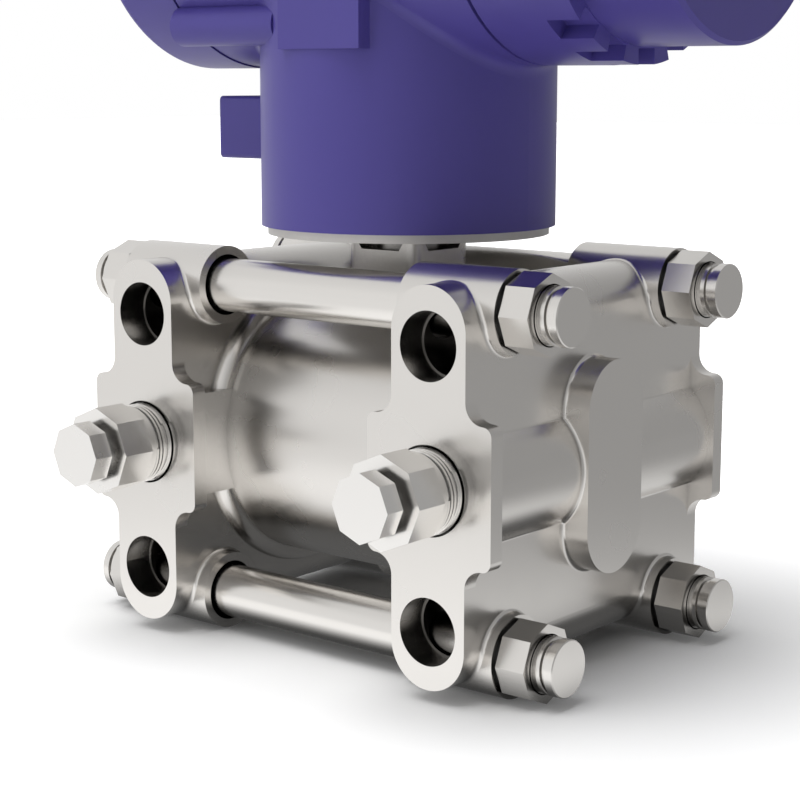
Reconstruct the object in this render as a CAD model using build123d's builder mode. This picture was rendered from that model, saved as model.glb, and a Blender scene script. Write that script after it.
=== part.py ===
"""A wireless pressure sensor: a pressure cell clamped between two cast process flanges,
with vent valves, and on its neck a turning housing with screw covers, battery, boards and antenna.

Millimetres. +Z is up and X runs along the clamping studs. The origin is the centre of the
four bolt holes on the rear process face, and +Y points out of that face.
"""

import os

from build123d import *

os.makedirs("parts", exist_ok=True)

# Driving dimensions of the pressure cell
BOLT_ROWS = 41.3
PORT_X = 29.07
CELL_DEPTH = 62.7
CAPSULE_R = 21.7
CAPSULE_END = 20.06
STUD_Y = 21.2
STUD_Z = 25.1
STUD_R = 4.25
STUD_END = 46.7

# Driving dimensions of the housing
NECK_R = 23.5
NECK_RIM_Z = 34.5
HOUSING_Z = 85.7
HOUSING_R = 26.3
HOUSING_FRONT = 26.7
HOUSING_REAR = -30.85
COVER_THREAD_R = 23.4
ANTENNA_X = -20.0

CELL_Y = -CELL_DEPTH / 2
HALF_DEPTH = CELL_DEPTH / 2
RUNNING_GAP = 0.05
SCREW_GAP = 0.02
finished = {}


def facing_vents(y=0.0):
    """A plane y behind the cell's middle, whose local X and Y are the cell's X and Z."""
    return Plane(origin=(0, CELL_Y + y, 0), x_dir=(1, 0, 0), z_dir=(0, -1, 0))


def across(x, z=0.0):
    """A plane across the studs at x, whose local X and Y are the cell's Y and Z."""
    return Plane(origin=(x, CELL_Y, z), x_dir=(0, 1, 0), z_dir=(1, 0, 0))


def level(z):
    """A level plane at height z, centred on the swivel axis, also for profiles of x against radius."""
    return Plane(origin=(0, CELL_Y, z), x_dir=(1, 0, 0), z_dir=(0, 0, 1))


def antenna_level(z):
    """A level plane at height z, centred on the antenna's own axis."""
    return Plane(origin=(ANTENNA_X, CELL_Y, z), x_dir=(1, 0, 0), z_dir=(0, 0, 1))


def in_a_hollow(edge):
    """True for an edge in an inside corner, where a casting is blended. A seam has one face only."""
    try:
        return edge.is_interior
    except IndexError:
        return False


def finish(name, part):
    """Label a finished piece and keep it for writing."""
    part.label = name
    finished[name] = part


def finish_pair(name, part):
    """The right-hand piece, and its mirror image for the left side of the cell."""
    finish(f"{name}_right", part)
    finish(f"{name}_left", mirror(part, about=Plane.YZ))


CELL_AXIS = Axis((0, CELL_Y, 0), (1, 0, 0))
HOUSING_AXIS = Axis((0, CELL_Y, HOUSING_Z), (1, 0, 0))
SWIVEL_AXIS = Axis((0, CELL_Y, 0), (0, 0, 1))
PORT_AXIS = Axis((PORT_X, 0, 0), (0, -1, 0))

# Process flange: one casting, with a lug column, a port boss, four stud bosses and a rib pad
COLUMN_WIDTH = 13.3
COLUMN_HEIGHT = 58.6
STUD_BOSS_R = 6.2
STUD_BOSS_END = 37.6
PORT_BOSS_R = 10.3
PORT_BLOCK_HALF = 8.2
PAD_FACE = 40.2
PAD_WIDTH = 14.6
PAD_HEIGHT = 32.7
CAST_BLEND = 0.6
DISC_LAND = 0.14
DISC_BLEND = 2.36
DISC_ROOT = 27.0
PLATE_T = 2.65
PLATE_WIDTH = 22.4
PLATE_HEIGHT = 20.6
PLATE_INNER_R = 3.0
PLATE_CORNER_R = 1.5

# Holes in the flange
STUD_BORE_R = 4.85
FRONT_HOLE_R = 5.05
REAR_HOLE_R = 4.7
LUG_THREAD_DEPTH = 5.2
LUG_RELIEF_STEP = 0.2
LUG_RELIEF_DEPTH = 14.0
PORT_TAP_R = 5.56
PORT_TAP_DEPTH = 15.0
PORT_MOUTH_R = 6.86
VENT_MOUTH_R = 6.66
VENT_MOUTH_DEPTH = 2.4
VENT_SHANK_R = 6.3
VENT_SHANK_DEPTH = 12.0
PASSAGE_R = 3.0
CHAMBER_R = 15.2
CHAMBER_DEPTH = 2.2
SEAL_INNER_R = 16.4
SEAL_OUTER_R = 18.8
SEAL_T = 1.6

with BuildPart() as process_flange:
    with BuildSketch(facing_vents()) as lug_column:
        with Locations((PORT_X, 0)):
            SlotOverall(COLUMN_HEIGHT, COLUMN_WIDTH, rotation=90)
    extrude(amount=HALF_DEPTH, both=True)
    with BuildSketch(across(CAPSULE_END)) as stud_bosses:
        with GridLocations(2 * STUD_Y, 2 * STUD_Z, 2, 2):
            Circle(STUD_BOSS_R)
    extrude(amount=STUD_BOSS_END - CAPSULE_END)
    with BuildSketch(facing_vents()) as port_boss:
        with Locations((PORT_X, 0)):
            Circle(PORT_BOSS_R)
    extrude(amount=HALF_DEPTH, both=True)
    with BuildSketch(across(PORT_X)) as rib_pad:
        SlotOverall(PAD_HEIGHT, PAD_WIDTH, rotation=90)
    extrude(amount=PAD_FACE - PORT_X)
    fillet(process_flange.edges().filter_by(in_a_hollow), CAST_BLEND)
    split(bisect_by=Plane.YZ.offset(CAPSULE_END), keep=Keep.TOP)

    # The round seat that meets the capsule, blended into the column
    with BuildSketch(level(0)) as seat_profile:
        with BuildLine():
            seat_face = Line((CAPSULE_END, 0), (CAPSULE_END, CAPSULE_R))
            seat_rim = Line(seat_face @ 1, (CAPSULE_END + DISC_LAND, CAPSULE_R))
            blend_end = seat_rim @ 1 + Vector(DISC_BLEND, DISC_BLEND)
            RadiusArc(seat_rim @ 1, blend_end, DISC_BLEND)
            Polyline(blend_end, (DISC_ROOT, blend_end.Y), (DISC_ROOT, 0), seat_face @ 0)
        make_face()
    revolve(axis=CELL_AXIS)

    # The inner side of the port boss is cast square up to the round seat
    with BuildSketch(facing_vents()) as port_block:
        with Locations(((PORT_X + CAPSULE_END) / 2, 0)):
            Rectangle(PORT_X - CAPSULE_END, 2 * PORT_BLOCK_HALF)
    extrude(amount=HALF_DEPTH, both=True)

    # A broad thin plate closes each end of the port boss
    for face_y, inward in ((-HALF_DEPTH, -PLATE_T), (HALF_DEPTH, PLATE_T)):
        with BuildSketch(facing_vents(face_y)) as face_plate:
            with Locations((PORT_X, 0)):
                SlotOverall(COLUMN_HEIGHT, COLUMN_WIDTH, rotation=90)
                Rectangle(PLATE_WIDTH, PLATE_HEIGHT)
            corners = face_plate.vertices().filter_by(lambda v: abs(abs(v.Y) - PLATE_HEIGHT / 2) < 0.01)
            outer = corners.filter_by(lambda v: abs(v.X - PORT_X) > COLUMN_WIDTH / 2 + 1)
            fillet(outer, PLATE_CORNER_R)
            corners = face_plate.vertices().filter_by(lambda v: abs(abs(v.Y) - PLATE_HEIGHT / 2) < 0.01)
            fillet(corners.filter_by(lambda v: abs(v.X - PORT_X) < COLUMN_WIDTH / 2 + 0.1), PLATE_INNER_R)
        extrude(amount=inward)

    # Clearance for the studs
    with BuildSketch(across(CAPSULE_END)) as stud_bores:
        with GridLocations(2 * STUD_Y, 2 * STUD_Z, 2, 2):
            Circle(STUD_BORE_R)
    extrude(amount=PAD_FACE - CAPSULE_END, mode=Mode.SUBTRACT)

    # Bolt holes in both faces: a short thread, then a relief that meets the studs
    for face_y, inward, thread_r in ((-HALF_DEPTH, -1, FRONT_HOLE_R), (HALF_DEPTH, 1, REAR_HOLE_R)):
        for radius, depth in ((thread_r, LUG_THREAD_DEPTH), (thread_r - LUG_RELIEF_STEP, LUG_RELIEF_DEPTH)):
            with BuildSketch(facing_vents(face_y)) as lug_holes:
                with Locations((PORT_X, BOLT_ROWS / 2), (PORT_X, -BOLT_ROWS / 2)):
                    Circle(radius)
            extrude(amount=inward * depth, mode=Mode.SUBTRACT)

    # Pressure port at the rear, vent port at the front, and the passage between them
    with BuildSketch(Plane(origin=(PORT_X, 0, 0), x_dir=(1, 0, 0), z_dir=(0, 0, 1))) as port_profile:
        mouth = PORT_MOUTH_R - PORT_TAP_R
        with BuildLine():
            Polyline(
                (0, 0),
                (PORT_MOUTH_R, 0),
                (PORT_TAP_R, -mouth),
                (PORT_TAP_R, -PORT_TAP_DEPTH),
                (PASSAGE_R, -PORT_TAP_DEPTH - PASSAGE_R / 2),
                (PASSAGE_R, -CELL_DEPTH + VENT_SHANK_DEPTH),
                (VENT_SHANK_R, -CELL_DEPTH + VENT_SHANK_DEPTH),
                (VENT_SHANK_R, -CELL_DEPTH + VENT_MOUTH_DEPTH),
                (VENT_MOUTH_R, -CELL_DEPTH + VENT_MOUTH_DEPTH),
                (VENT_MOUTH_R, -CELL_DEPTH),
                (0, -CELL_DEPTH),
                close=True,
            )
        make_face()
    revolve(axis=PORT_AXIS, mode=Mode.SUBTRACT)

    # Pressure chamber against the diaphragm, with its passage and seal groove
    with BuildSketch(across(CAPSULE_END)) as chamber:
        Circle(CHAMBER_R)
    extrude(amount=CHAMBER_DEPTH, mode=Mode.SUBTRACT)
    with BuildSketch(across(CAPSULE_END)) as chamber_passage:
        Circle(PASSAGE_R)
    extrude(amount=PORT_X - CAPSULE_END, mode=Mode.SUBTRACT)
    with BuildSketch(across(CAPSULE_END)) as seal_groove:
        Circle(SEAL_OUTER_R)
        Circle(SEAL_INNER_R, mode=Mode.SUBTRACT)
    extrude(amount=SEAL_T / 2, mode=Mode.SUBTRACT)
finish_pair("process_flange", process_flange.part)

# Sensor capsule: the barrel between the flanges, and its square neck
NECK_BLOCK = 14.3
NECK_BLOCK_CORNER = 2.0
NECK_TOP_Z = 33.2
NECK_CORE_R = 5.4
NOTCH_BOTTOM_Z = 30.8
NOTCH_TOP_WIDTH = 11.0
NOTCH_SIDE_ANGLE = 55
NOTCH_DEPTH = 2.4
DIAPHRAGM_R = 15.2
DIAPHRAGM_SEAT = 0.56
DIAPHRAGM_GAP = 0.34
DIAPHRAGM_LEDGE = 1.4
CELL_R = 9.0
CELL_HALF = 6.0
OIL_HOLE_R = 1.0
LEAD_HOLE_R = 2.5
NOTCH_HEIGHT = NECK_TOP_Z - NOTCH_BOTTOM_Z

with BuildPart() as capsule:
    with BuildSketch(across(-CAPSULE_END)) as barrel:
        Circle(CAPSULE_R)
    extrude(amount=2 * CAPSULE_END)
    with BuildSketch(level(0)) as neck_block:
        RectangleRounded(NECK_BLOCK, NECK_BLOCK, NECK_BLOCK_CORNER)
    extrude(amount=NECK_TOP_Z)
    for turn in range(4):
        outward = Vector(1, 0, 0).rotate(Axis.Z, 90 * turn)
        face_middle = Vector(0, CELL_Y, 0) + outward * NECK_BLOCK / 2
        neck_face = Plane(origin=face_middle, x_dir=outward.rotate(Axis.Z, 90), z_dir=outward)
        with BuildSketch(neck_face) as spanner_notch:
            with Locations((0, (NOTCH_BOTTOM_Z + NECK_TOP_Z) / 2)):
                Trapezoid(NOTCH_TOP_WIDTH, NOTCH_HEIGHT, NOTCH_SIDE_ANGLE, rotation=180)
        extrude(amount=-NOTCH_DEPTH, mode=Mode.SUBTRACT)
    with BuildSketch(level(CAPSULE_R)) as neck_core:
        Circle(NECK_CORE_R)
    extrude(amount=NECK_TOP_Z - CAPSULE_R)
    for end, inward in ((-CAPSULE_END, 1), (CAPSULE_END, -1)):
        for radius, depth in (
            (DIAPHRAGM_R, DIAPHRAGM_SEAT),
            (DIAPHRAGM_R - DIAPHRAGM_LEDGE, DIAPHRAGM_SEAT + DIAPHRAGM_GAP),
            (OIL_HOLE_R, CAPSULE_END - CELL_HALF),
        ):
            with BuildSketch(across(end)) as diaphragm_seat:
                Circle(radius)
            extrude(amount=inward * depth, mode=Mode.SUBTRACT)
        with BuildSketch(across(end)) as capsule_seal_groove:
            Circle(SEAL_OUTER_R)
            Circle(SEAL_INNER_R, mode=Mode.SUBTRACT)
        extrude(amount=inward * SEAL_T / 2, mode=Mode.SUBTRACT)
    with BuildSketch(across(0)) as cell_pocket:
        Circle(CELL_R)
    extrude(amount=CELL_HALF, both=True, mode=Mode.SUBTRACT)
    with BuildSketch(level(0)) as lead_hole:
        Circle(LEAD_HOLE_R)
    extrude(amount=NECK_TOP_Z, mode=Mode.SUBTRACT)
finish("sensor_capsule", capsule.part)

# The sensing cell in the middle of the capsule: a body with a flat and four lead pins
CELL_FLAT_Z = 8.0
PIN_R = 0.4
PIN_SPREAD = 2.4

with BuildPart() as sensing_cell:
    with BuildSketch(across(0)) as cell_body:
        Circle(CELL_R)
        with Locations((0, CELL_FLAT_Z + CELL_R / 2)):
            Rectangle(2 * CELL_R, CELL_R, mode=Mode.SUBTRACT)
    extrude(amount=CELL_HALF, both=True)
    with BuildSketch(level(CELL_FLAT_Z)) as lead_pins:
        with GridLocations(PIN_SPREAD, PIN_SPREAD, 2, 2):
            Circle(PIN_R)
    extrude(amount=CAPSULE_R - CELL_FLAT_Z)
finish("sensing_cell", sensing_cell.part)

# Isolating diaphragm: a thin disc with three pressed rings
DIAPHRAGM_T = 0.25
RIPPLE_R = 0.3
RIPPLE_RADII = (4.0, 7.5, 11.0)
DIAPHRAGM_X = CAPSULE_END - DIAPHRAGM_SEAT

with BuildPart() as diaphragm:
    with BuildSketch(across(DIAPHRAGM_X)) as diaphragm_disc:
        Circle(DIAPHRAGM_R)
    extrude(amount=DIAPHRAGM_T)
    with BuildSketch(level(0)) as ripple_profile:
        with Locations([(DIAPHRAGM_X + DIAPHRAGM_T, radius) for radius in RIPPLE_RADII]):
            Circle(RIPPLE_R)
        split(bisect_by=Plane.YZ.offset(DIAPHRAGM_X), keep=Keep.TOP)
    revolve(axis=CELL_AXIS)
finish_pair("isolating_diaphragm", diaphragm.part)

# Process seal: a flat ring half in the flange and half in the capsule
with BuildPart() as process_seal:
    with BuildSketch(across(CAPSULE_END - SEAL_T / 2)) as seal_ring:
        Circle(SEAL_OUTER_R)
        Circle(SEAL_INNER_R, mode=Mode.SUBTRACT)
    extrude(amount=SEAL_T)
finish_pair("process_seal", process_seal.part)

# Four clamping studs, with a washer and an eight-sided nut at each end
STUD_CHAMFER = 0.15
STUD_ROOT_R = 3.9
STUD_ROOT_NEAR = 43.1
STUD_ROOT_FAR = 45.3
WASHER_R = 5.3
WASHER_T = 0.5
NUT_SIDES = 8
NUT_CORNER_R = 5.95
NUT_BORE_R = 4.45
NUT_T = 4.9
NUT_X = STUD_BOSS_END + WASHER_T

with BuildPart() as stud_bolts:
    with BuildSketch(across(-STUD_END)) as stud_section:
        with GridLocations(2 * STUD_Y, 2 * STUD_Z, 2, 2):
            Circle(STUD_R)
    extrude(amount=2 * STUD_END)
    chamfer(stud_bolts.edges().filter_by(GeomType.CIRCLE), STUD_CHAMFER)
    for start in (STUD_ROOT_NEAR, -STUD_ROOT_FAR):
        with BuildSketch(across(start)) as thread_root:
            with GridLocations(2 * STUD_Y, 2 * STUD_Z, 2, 2):
                Circle(STUD_R)
                Circle(STUD_ROOT_R, mode=Mode.SUBTRACT)
        extrude(amount=STUD_ROOT_FAR - STUD_ROOT_NEAR, mode=Mode.SUBTRACT)
finish("stud_bolts", stud_bolts.part)

with BuildPart() as stud_nuts:
    for start in (NUT_X, -NUT_X - NUT_T):
        with BuildSketch(across(start)) as nut_section:
            with GridLocations(2 * STUD_Y, 2 * STUD_Z, 2, 2):
                RegularPolygon(NUT_CORNER_R, NUT_SIDES)
                Circle(NUT_BORE_R, mode=Mode.SUBTRACT)
        extrude(amount=NUT_T)
finish("stud_nuts", stud_nuts.part)

with BuildPart() as stud_washers:
    for start in (STUD_BOSS_END, -STUD_BOSS_END - WASHER_T):
        with BuildSketch(across(start)) as washer_section:
            with GridLocations(2 * STUD_Y, 2 * STUD_Z, 2, 2):
                Circle(WASHER_R)
                Circle(NUT_BORE_R, mode=Mode.SUBTRACT)
        extrude(amount=WASHER_T)
finish("stud_washers", stud_washers.part)

# Vent valve: a screwed body with a seat, a ball, and a stem that turns out to open it
VENT_HEAD_NEAR = -36.0
VENT_HEAD_FAR = -41.6
VENT_HEAD_CORNER_R = 6.88
VENT_ROOT_R = 5.95
VENT_ROOT_NEAR = -31.5
VENT_ROOT_FAR = -34.6
STEM_HEAD_NEAR = -42.8
STEM_HEAD_FAR = -46.1
STEM_HEAD_CORNER_R = 5.0
STEM_NECK_R = 3.7
STEM_R = 2.6
STEM_TIP_Y = -27.0
BALL_R = 2.0
SEAT_R = 1.3
VENT_BORE_R = STEM_R + RUNNING_GAP
BALL_Y = STEM_TIP_Y + BALL_R
SEAT_Y = BALL_Y + (BALL_R**2 - SEAT_R**2) ** 0.5 + SCREW_GAP

with BuildPart() as vent_body:
    with BuildSketch(facing_vents(VENT_HEAD_NEAR)) as vent_head:
        with Locations((PORT_X, 0)):
            RegularPolygon(VENT_HEAD_CORNER_R, NUT_SIDES)
    extrude(amount=VENT_HEAD_NEAR - VENT_HEAD_FAR)
    with BuildSketch(facing_vents(-HALF_DEPTH + VENT_SHANK_DEPTH)) as vent_shank:
        with Locations((PORT_X, 0)):
            Circle(VENT_SHANK_R)
    extrude(amount=VENT_SHANK_DEPTH - HALF_DEPTH - VENT_HEAD_NEAR)
    with BuildSketch(facing_vents(VENT_ROOT_NEAR)) as vent_thread_root:
        with Locations((PORT_X, 0)):
            Circle(VENT_SHANK_R)
            Circle(VENT_ROOT_R, mode=Mode.SUBTRACT)
    extrude(amount=VENT_ROOT_NEAR - VENT_ROOT_FAR, mode=Mode.SUBTRACT)
    with BuildSketch(facing_vents(VENT_HEAD_FAR)) as vent_bore:
        with Locations((PORT_X, 0)):
            Circle(VENT_BORE_R)
    extrude(amount=VENT_HEAD_FAR - SEAT_Y, mode=Mode.SUBTRACT)
    with BuildSketch(facing_vents(-HALF_DEPTH + VENT_SHANK_DEPTH)) as vent_seat:
        with Locations((PORT_X, 0)):
            Circle(SEAT_R)
    extrude(amount=VENT_SHANK_DEPTH, mode=Mode.SUBTRACT)
finish_pair("vent_valve_body", vent_body.part)

with BuildPart() as vent_stem:
    with BuildSketch(facing_vents(STEM_HEAD_NEAR)) as stem_head:
        with Locations((PORT_X, 0)):
            RegularPolygon(STEM_HEAD_CORNER_R, NUT_SIDES)
    extrude(amount=STEM_HEAD_NEAR - STEM_HEAD_FAR)
    with BuildSketch(facing_vents(VENT_HEAD_FAR)) as stem_neck:
        with Locations((PORT_X, 0)):
            Circle(STEM_NECK_R)
    extrude(amount=VENT_HEAD_FAR - STEM_HEAD_NEAR)
    with BuildSketch(facing_vents(STEM_TIP_Y)) as stem_screw:
        with Locations((PORT_X, 0)):
            Circle(STEM_R)
    extrude(amount=STEM_TIP_Y - VENT_HEAD_FAR)
finish_pair("vent_stem", vent_stem.part)

with BuildPart() as vent_ball:
    with Locations((PORT_X, CELL_Y + BALL_Y, 0)):
        Sphere(BALL_R)
finish_pair("vent_ball", vent_ball.part)

# Sensor module: a grey base disc, and a can that plugs into the housing's neck
MODULE_DISC_R = 22.5
MODULE_R = 18.5
MODULE_TOP_Z = 55.0
MODULE_BORE_R = 16.5
MODULE_FLOOR_Z = 36.0
ORING_GROOVE_R = 17.55
ORING_GROOVE_Z = 38.0
ORING_GROOVE_W = 1.2
LOCK_GROOVE_R = 17.6
LOCK_GROOVE_Z = 47.0
LOCK_GROOVE_W = 5.0

with BuildPart() as sensor_module:
    with BuildSketch(level(NECK_TOP_Z)) as module_disc:
        Circle(MODULE_DISC_R)
    extrude(amount=NECK_RIM_Z - NECK_TOP_Z)
    with BuildSketch(level(NECK_RIM_Z)) as module_can:
        Circle(MODULE_R)
    extrude(amount=MODULE_TOP_Z - NECK_RIM_Z)
    for bottom, width, radius in (
        (ORING_GROOVE_Z, ORING_GROOVE_W, ORING_GROOVE_R),
        (LOCK_GROOVE_Z, LOCK_GROOVE_W, LOCK_GROOVE_R),
    ):
        with BuildSketch(level(bottom)) as module_groove:
            Circle(MODULE_R)
            Circle(radius, mode=Mode.SUBTRACT)
        extrude(amount=width, mode=Mode.SUBTRACT)
    with BuildSketch(level(MODULE_FLOOR_Z)) as module_bore:
        Circle(MODULE_BORE_R)
    extrude(amount=MODULE_TOP_Z - MODULE_FLOOR_Z, mode=Mode.SUBTRACT)
    with BuildSketch(level(NECK_TOP_Z)) as module_lead_hole:
        Circle(LEAD_HOLE_R)
    extrude(amount=MODULE_FLOOR_Z - NECK_TOP_Z, mode=Mode.SUBTRACT)
finish("sensor_module", sensor_module.part)

NECK_ORING_SECTION = (MODULE_R - ORING_GROOVE_R) / 2

with BuildPart() as neck_oring:
    with BuildSketch(Plane.XZ.offset(-CELL_Y)) as neck_oring_section:
        with Locations((ORING_GROOVE_R + NECK_ORING_SECTION, ORING_GROOVE_Z + ORING_GROOVE_W / 2)):
            Circle(NECK_ORING_SECTION)
    revolve(axis=SWIVEL_AXIS)
finish("neck_oring", neck_oring.part)

# Header: the sealing disc of the can, with its ring of pins
HEADER_T = 2.0
HEADER_PINS = 8
HEADER_PIN_CIRCLE = 9.0
HEADER_PIN_R = 0.6
HEADER_PIN_BOTTOM_Z = 46.0
HEADER_PIN_TOP_Z = 59.0
HEADER_BOSS_R = 11.5
HEADER_BOSS_T = 1.0

with BuildPart() as module_header:
    with BuildSketch(level(MODULE_TOP_Z - HEADER_T)) as header_disc:
        Circle(MODULE_BORE_R)
    extrude(amount=HEADER_T)
    with BuildSketch(level(MODULE_TOP_Z)) as header_boss:
        Circle(HEADER_BOSS_R)
    extrude(amount=HEADER_BOSS_T)
    with BuildSketch(level(HEADER_PIN_BOTTOM_Z)) as header_pins:
        with PolarLocations(HEADER_PIN_CIRCLE, HEADER_PINS):
            Circle(HEADER_PIN_R)
    extrude(amount=HEADER_PIN_TOP_Z - HEADER_PIN_BOTTOM_Z)
finish("module_header", module_header.part)

# Sensor board: a round board on a ledge of spacers inside the can
SENSOR_BOARD_R = 16.0
SENSOR_BOARD_Z = 43.0
BOARD_T = 1.6
BOARD_FEET_CIRCLE = 13.5
BOARD_FEET = 3
BOARD_FOOT_R = 1.5
CHIP_T = 1.4
SENSOR_CHIPS = ((6.5, 5.5, 7.0, 7.0), (-7.0, -5.0, 6.0, 9.0), (7.0, -6.5, 5.0, 4.0))

with BuildPart() as sensor_board:
    with BuildSketch(level(SENSOR_BOARD_Z)) as sensor_board_disc:
        Circle(SENSOR_BOARD_R)
        Circle(LEAD_HOLE_R, mode=Mode.SUBTRACT)
    extrude(amount=BOARD_T)
    with BuildSketch(level(MODULE_FLOOR_Z)) as sensor_board_feet:
        with PolarLocations(BOARD_FEET_CIRCLE, BOARD_FEET):
            Circle(BOARD_FOOT_R)
    extrude(amount=SENSOR_BOARD_Z - MODULE_FLOOR_Z)
    with BuildSketch(level(SENSOR_BOARD_Z + BOARD_T)) as sensor_board_chips:
        for chip_x, chip_y, width, height in SENSOR_CHIPS:
            with Locations((chip_x, chip_y)):
                Rectangle(width, height)
    extrude(amount=CHIP_T)
finish("sensor_board", sensor_board.part)

# Electronics housing: a casting with a lengthwise barrel on an upright neck
NECK_GAP = 0.05
NECK_BORE_R = MODULE_R + RUNNING_GAP
NECK_BORE_TOP_Z = 60.5
WIRE_HOLE_R = 6.0
CHAMBER_BORE_R = 21.2
BULKHEAD_FRONT = -8.0
BULKHEAD_REAR = -12.0
SPIGOT_FRONT = 36.0
SPIGOT_REAR = -39.0
NECK_BLEND = 2.0
DETAIL_BLEND = 0.8
FLAT_LEFT = -6.0
FLAT_RIGHT = 10.0
FLAT_FACE_Y = -23.8
FLAT_BOTTOM_Z = 61.85
RIB_R = 3.15
RIB_Y = -19.0
RIB_Z = 65.7
RIB_END = -31.0
RIB_ROOT = -9.0
LOCK_SCREW_R = 2.0
LOCK_SCREW_LENGTH = 8.0
LOCK_SCREW_SINK = 0.5
TAB_END = -36.4
TAB_ROOT = -21.0
TAB_WIDTH = 11.5
TAB_BOTTOM_Z = 44.3
TAB_TOP_Z = 54.65
SWIVEL_SCREW_R = 3.0
SWIVEL_SCREW_TIP = -17.9
SWIVEL_SCREW_DOG = 2.0
SWIVEL_SCREW_DOG_R = 2.0
SWIVEL_SCREW_SINK = 1.0
ANTENNA_BOSS_R = 9.0
ANTENNA_BOSS_Z = 114.5
SOCKET_R = 6.0
BOARD_SCREWS = 3
BOARD_SCREW_TURN = 90.0
BOARD_SCREW_CIRCLE = 15.0
BOARD_SCREW_R = 1.4
BOARD_HOLE_R = 1.5
BOARD_SCREW_TIP = -9.4
TAB_MID_Z = (TAB_BOTTOM_Z + TAB_TOP_Z) / 2

with BuildPart() as housing:
    with BuildSketch(across(HOUSING_REAR, HOUSING_Z)) as housing_barrel:
        Circle(HOUSING_R)
    extrude(amount=HOUSING_FRONT - HOUSING_REAR)
    with BuildSketch(level(NECK_RIM_Z + NECK_GAP)) as housing_neck:
        Circle(NECK_R)
    extrude(amount=HOUSING_Z - NECK_RIM_Z - NECK_GAP)
    fillet(housing.edges().filter_by(in_a_hollow), NECK_BLEND)
    with BuildSketch(antenna_level(HOUSING_Z)) as antenna_boss:
        Circle(ANTENNA_BOSS_R)
    extrude(amount=ANTENNA_BOSS_Z - HOUSING_Z)

    # The flat pad, the lock screw rib and the swivel lock block on the neck
    with BuildSketch(level(FLAT_BOTTOM_Z)) as flat_pad:
        with Locations(((FLAT_LEFT + FLAT_RIGHT) / 2, FLAT_FACE_Y / 2)):
            Rectangle(FLAT_RIGHT - FLAT_LEFT, -FLAT_FACE_Y)
    extrude(amount=HOUSING_Z - FLAT_BOTTOM_Z)
    with BuildSketch(across(RIB_END)) as lock_rib:
        with Locations((RIB_Y, RIB_Z)):
            Circle(RIB_R)
    extrude(amount=RIB_ROOT - RIB_END)
    with BuildSketch(across(TAB_END, TAB_MID_Z)) as swivel_lock_block:
        RectangleRounded(TAB_WIDTH, TAB_TOP_Z - TAB_BOTTOM_Z, DETAIL_BLEND)
    extrude(amount=TAB_ROOT - TAB_END)

    # Turned ends that carry the cover threads
    with BuildSketch(across(SPIGOT_REAR, HOUSING_Z)) as spigots:
        Circle(COVER_THREAD_R)
    extrude(amount=SPIGOT_FRONT - SPIGOT_REAR)

    # Chambers either side of the bulkhead, and the neck bore with its wire hole
    with BuildSketch(across(BULKHEAD_FRONT, HOUSING_Z)) as front_chamber:
        Circle(CHAMBER_BORE_R)
    extrude(amount=SPIGOT_FRONT - BULKHEAD_FRONT, mode=Mode.SUBTRACT)
    with BuildSketch(across(BULKHEAD_REAR, HOUSING_Z)) as rear_chamber:
        Circle(CHAMBER_BORE_R)
    extrude(amount=SPIGOT_REAR - BULKHEAD_REAR, mode=Mode.SUBTRACT)
    with BuildSketch(level(NECK_RIM_Z)) as neck_bore:
        Circle(NECK_BORE_R)
    extrude(amount=NECK_BORE_TOP_Z - NECK_RIM_Z, mode=Mode.SUBTRACT)
    with BuildSketch(level(NECK_BORE_TOP_Z)) as wire_hole:
        Circle(WIRE_HOLE_R)
    extrude(amount=HOUSING_Z - CHAMBER_BORE_R / 2 - NECK_BORE_TOP_Z, mode=Mode.SUBTRACT)
    with BuildSketch(across(BULKHEAD_REAR, HOUSING_Z)) as bulkhead_wire_hole:
        with Locations((0, -CHAMBER_BORE_R / 2)):
            Circle(LEAD_HOLE_R)
    extrude(amount=BULKHEAD_FRONT - BULKHEAD_REAR, mode=Mode.SUBTRACT)

    # Screw holes: board screws, cover lock, swivel lock and antenna socket
    with BuildSketch(across(BULKHEAD_REAR, HOUSING_Z)) as board_screw_holes:
        with PolarLocations(BOARD_SCREW_CIRCLE, BOARD_SCREWS, BOARD_SCREW_TURN):
            Circle(BOARD_HOLE_R)
    extrude(amount=BOARD_SCREW_TIP - BULKHEAD_REAR, mode=Mode.SUBTRACT)
    with BuildSketch(across(RIB_END)) as cover_lock_hole:
        with Locations((RIB_Y, RIB_Z)):
            Circle(LOCK_SCREW_R)
    extrude(amount=LOCK_SCREW_LENGTH + LOCK_SCREW_SINK, mode=Mode.SUBTRACT)
    with BuildSketch(across(TAB_END, TAB_MID_Z)) as swivel_lock_hole:
        Circle(SWIVEL_SCREW_R)
    extrude(amount=-TAB_END - LOCK_GROOVE_R, mode=Mode.SUBTRACT)
    with BuildSketch(antenna_level(HOUSING_Z)) as socket_hole:
        Circle(SOCKET_R)
    extrude(amount=ANTENNA_BOSS_Z - HOUSING_Z, mode=Mode.SUBTRACT)
finish("electronics_housing", housing.part)

# Cover lock screw in the rib, and swivel lock screw in the block on the neck
KEY_SIDES = 6
LOCK_SOCKET_ACROSS = 2.0
LOCK_SOCKET_DEPTH = 1.8
SWIVEL_SOCKET_ACROSS = 3.0
SWIVEL_SOCKET_DEPTH = 2.5

with BuildPart() as cover_lock_screw:
    with BuildSketch(across(RIB_END + LOCK_SCREW_SINK)) as lock_screw_section:
        with Locations((RIB_Y, RIB_Z)):
            Circle(LOCK_SCREW_R - SCREW_GAP)
    extrude(amount=LOCK_SCREW_LENGTH)
    with BuildSketch(across(RIB_END + LOCK_SCREW_SINK)) as lock_screw_socket:
        with Locations((RIB_Y, RIB_Z)):
            RegularPolygon(LOCK_SOCKET_ACROSS / 2, KEY_SIDES, major_radius=False)
    extrude(amount=LOCK_SOCKET_DEPTH, mode=Mode.SUBTRACT)
finish("cover_lock_screw", cover_lock_screw.part)

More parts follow.
